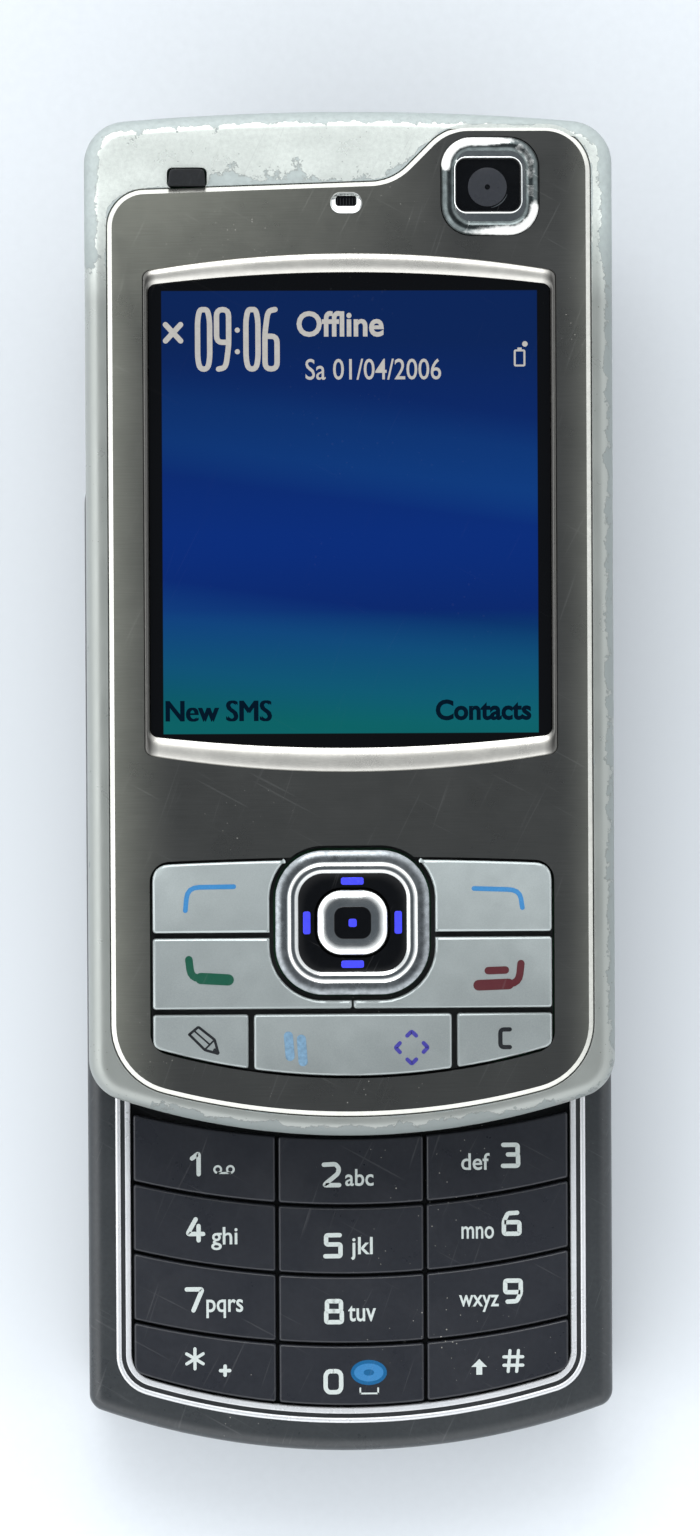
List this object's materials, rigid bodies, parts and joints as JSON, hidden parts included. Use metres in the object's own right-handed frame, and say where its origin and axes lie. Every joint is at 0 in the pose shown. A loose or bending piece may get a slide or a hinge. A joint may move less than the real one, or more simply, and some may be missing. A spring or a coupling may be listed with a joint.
{
  "type": "slider phone",
  "caption": "Slider mobile phone lying open: a screen half that slides on steel rails over a keypad half, with sprung keys, a tilting navigation ring and a back cover.",
  "frame": {"origin": "on the table, under the middle of the open phone lying on its back", "axes": "+X to the phone's right, +Y to its top end, +Z out of the screen"},
  "size_m": [0.0503, 0.1264, 0.0233],
  "materials": {
    "housing": "gloss",
    "casing": "satin",
    "trim_metal": "polished",
    "silicone": "matte",
    "board": "satin",
    "contact_metal": "polished",
    "steel": "brushed",
    "screw_steel": "satin",
    "black_plastic": "satin",
    "clear_window": "polished",
    "brass_weight": "satin",
    "battery_skin": "satin",
    "ribbon": "satin",
    "frame_silver": "satin",
    "plate_metal": "satin",
    "black_window": "gloss",
    "screen": "gloss",
    "key_metal": "satin",
    "key_dark": "satin"
  },
  "bodies": {
    "base": {"base_front_cover": "housing", "base_rear_cover": "casing", "keypad_rim": "trim_metal", "keypad_mat": "silicone", "keypad_board": "board", "main_board": "board", "battery_contacts": "contact_metal", "sim_holder": "steel", "rear_camera": "black_plastic", "camera_windows": "clear_window", "loudspeaker": "black_plastic", "vibration_motor": "steel", "charging_jack": "black_plastic", "accessory_connector": "black_plastic", "base_rail_plate": "steel", "base_screws": "screw_steel", "battery": "battery_skin"},
    "slider": {"slider_frame": "frame_silver", "slider_back": "casing", "slider_rails": "steel", "slider_screws": "screw_steel", "face_plate": "plate_metal", "window_rim": "trim_metal", "window_lens": "black_window", "display": "screen", "slider_board": "board", "earpiece": "black_plastic", "front_camera": "black_plastic", "camera_pod": "trim_metal", "slide_spring": "steel", "flex_cable": "ribbon"},
    "key_1": {"key_1": "key_dark"},
    "key_2": {"key_2": "key_dark"},
    "key_3": {"key_3": "key_dark"},
    "key_4": {"key_4": "key_dark"},
    "key_5": {"key_5": "key_dark"},
    "key_6": {"key_6": "key_dark"},
    "key_7": {"key_7": "key_dark"},
    "key_8": {"key_8": "key_dark"},
    "key_9": {"key_9": "key_dark"},
    "key_star": {"key_star": "key_dark"},
    "key_0": {"key_0": "key_dark"},
    "key_hash": {"key_hash": "key_dark"},
    "power_key": {"power_key": "key_dark"},
    "soft_key_left": {"soft_key_left": "key_metal"},
    "soft_key_right": {"soft_key_right": "key_metal"},
    "call_key": {"call_key": "key_metal"},
    "end_key": {"end_key": "key_metal"},
    "edit_key": {"edit_key": "key_metal"},
    "clear_key": {"clear_key": "key_metal"},
    "select_key": {"select_key": "trim_metal"},
    "menu_rocker": {"menu_rocker": "key_metal"},
    "nav_cradle": {"nav_cradle": "steel"},
    "nav_ring": {"nav_ring": "trim_metal"},
    "battery_cover": {"battery_cover": "casing"},
    "cover_release": {"cover_release": "casing"},
    "card_door": {"card_door": "casing"},
    "capture_key": {"capture_key": "key_metal"},
    "macro_lever": {"macro_lever": "trim_metal"},
    "vibration_weight": {"vibration_weight": "brass_weight"}
  },
  "joints": [
    {"name": "slide_open", "type": "slide", "parent": "base", "child": "slider", "axis": [0, 1, 0], "range_m": [-0.031, 0], "deforming": ["slide_spring", "flex_cable"]},
    {"name": "key_1_press", "type": "slide", "parent": "base", "child": "key_1", "axis": [0, 0, -1], "range_m": [0, 0.0003], "stiffness_N_per_m": 600},
    {"name": "key_2_press", "type": "slide", "parent": "base", "child": "key_2", "axis": [0, 0, -1], "range_m": [0, 0.0003], "stiffness_N_per_m": 600},
    {"name": "key_3_press", "type": "slide", "parent": "base", "child": "key_3", "axis": [0, 0, -1], "range_m": [0, 0.0003], "stiffness_N_per_m": 600},
    {"name": "key_4_press", "type": "slide", "parent": "base", "child": "key_4", "axis": [0, 0, -1], "range_m": [0, 0.0003], "stiffness_N_per_m": 600},
    {"name": "key_5_press", "type": "slide", "parent": "base", "child": "key_5", "axis": [0, 0, -1], "range_m": [0, 0.0003], "stiffness_N_per_m": 600},
    {"name": "key_6_press", "type": "slide", "parent": "base", "child": "key_6", "axis": [0, 0, -1], "range_m": [0, 0.0003], "stiffness_N_per_m": 600},
    {"name": "key_7_press", "type": "slide", "parent": "base", "child": "key_7", "axis": [0, 0, -1], "range_m": [0, 0.0003], "stiffness_N_per_m": 600},
    {"name": "key_8_press", "type": "slide", "parent": "base", "child": "key_8", "axis": [0, 0, -1], "range_m": [0, 0.0003], "stiffness_N_per_m": 600},
    {"name": "key_9_press", "type": "slide", "parent": "base", "child": "key_9", "axis": [0, 0, -1], "range_m": [0, 0.0003], "stiffness_N_per_m": 600},
    {"name": "key_star_press", "type": "slide", "parent": "base", "child": "key_star", "axis": [0, 0, -1], "range_m": [0, 0.0003], "stiffness_N_per_m": 600},
    {"name": "key_0_press", "type": "slide", "parent": "base", "child": "key_0", "axis": [0, 0, -1], "range_m": [0, 0.0003], "stiffness_N_per_m": 600},
    {"name": "key_hash_press", "type": "slide", "parent": "base", "child": "key_hash", "axis": [0, 0, -1], "range_m": [0, 0.0003], "stiffness_N_per_m": 600},
    {"name": "power_key_press", "type": "slide", "parent": "slider", "child": "power_key", "axis": [0, 0, -1], "range_m": [0, 0.0003], "stiffness_N_per_m": 600},
    {"name": "soft_key_left_press", "type": "slide", "parent": "slider", "child": "soft_key_left", "axis": [0, 0, -1], "range_m": [0, 0.0003], "stiffness_N_per_m": 600},
    {"name": "soft_key_right_press", "type": "slide", "parent": "slider", "child": "soft_key_right", "axis": [0, 0, -1], "range_m": [0, 0.0003], "stiffness_N_per_m": 600},
    {"name": "call_key_press", "type": "slide", "parent": "slider", "child": "call_key", "axis": [0, 0, -1], "range_m": [0, 0.0003], "stiffness_N_per_m": 600},
    {"name": "end_key_press", "type": "slide", "parent": "slider", "child": "end_key", "axis": [0, 0, -1], "range_m": [0, 0.0003], "stiffness_N_per_m": 600},
    {"name": "edit_key_press", "type": "slide", "parent": "slider", "child": "edit_key", "axis": [0, 0, -1], "range_m": [0, 0.0003], "stiffness_N_per_m": 600},
    {"name": "clear_key_press", "type": "slide", "parent": "slider", "child": "clear_key", "axis": [0, 0, -1], "range_m": [0, 0.0003], "stiffness_N_per_m": 600},
    {"name": "select_key_press", "type": "slide", "parent": "slider", "child": "select_key", "axis": [0, 0, -1], "range_m": [0, 0.0003], "stiffness_N_per_m": 600},
    {"name": "menu_rocker_tilt", "type": "hinge", "parent": "slider", "child": "menu_rocker", "pos_m": [0, -0.0235, 0.02105], "axis": [0, 1, 0], "range_deg": [-1.5, 1.5], "stiffness_Nm_per_rad": 0.02},
    {"name": "nav_up_down", "type": "hinge", "parent": "slider", "child": "nav_cradle", "pos_m": [0, -0.0122, 0.02155], "axis": [1, 0, 0], "range_deg": [-1.5, 1.5], "stiffness_Nm_per_rad": 0.02},
    {"name": "nav_left_right", "type": "hinge", "parent": "nav_cradle", "child": "nav_ring", "pos_m": [0, -0.0122, 0.02155], "axis": [0, 1, 0], "range_deg": [-1.5, 1.5], "stiffness_Nm_per_rad": 0.02},
    {"name": "battery_cover_slide", "type": "slide", "parent": "base", "child": "battery_cover", "axis": [0, -1, 0], "range_m": [0, 0.06]},
    {"name": "cover_release_press", "type": "slide", "parent": "base", "child": "cover_release", "axis": [0, 0, 1], "range_m": [0, 0.0003], "stiffness_N_per_m": 600},
    {"name": "card_door_swing", "type": "hinge", "parent": "base", "child": "card_door", "pos_m": [-0.02445, 0.0208, 0.0047], "axis": [0, 0, -1], "range_deg": [0, 95]},
    {"name": "capture_key_press", "type": "slide", "parent": "base", "child": "capture_key", "axis": [-1, 0, 0], "range_m": [0, 0.0003], "stiffness_N_per_m": 600},
    {"name": "macro_lever_turn", "type": "hinge", "parent": "base", "child": "macro_lever", "pos_m": [0, 0.0175, 0.00055], "axis": [0, 0, 1], "range_deg": [0, 35]},
    {"name": "vibration_weight_spin", "type": "hinge", "parent": "base", "child": "vibration_weight", "pos_m": [-0.0045, 0.0268, 0.0043], "axis": [1, 0, 0], "continuous": true}
  ]
}
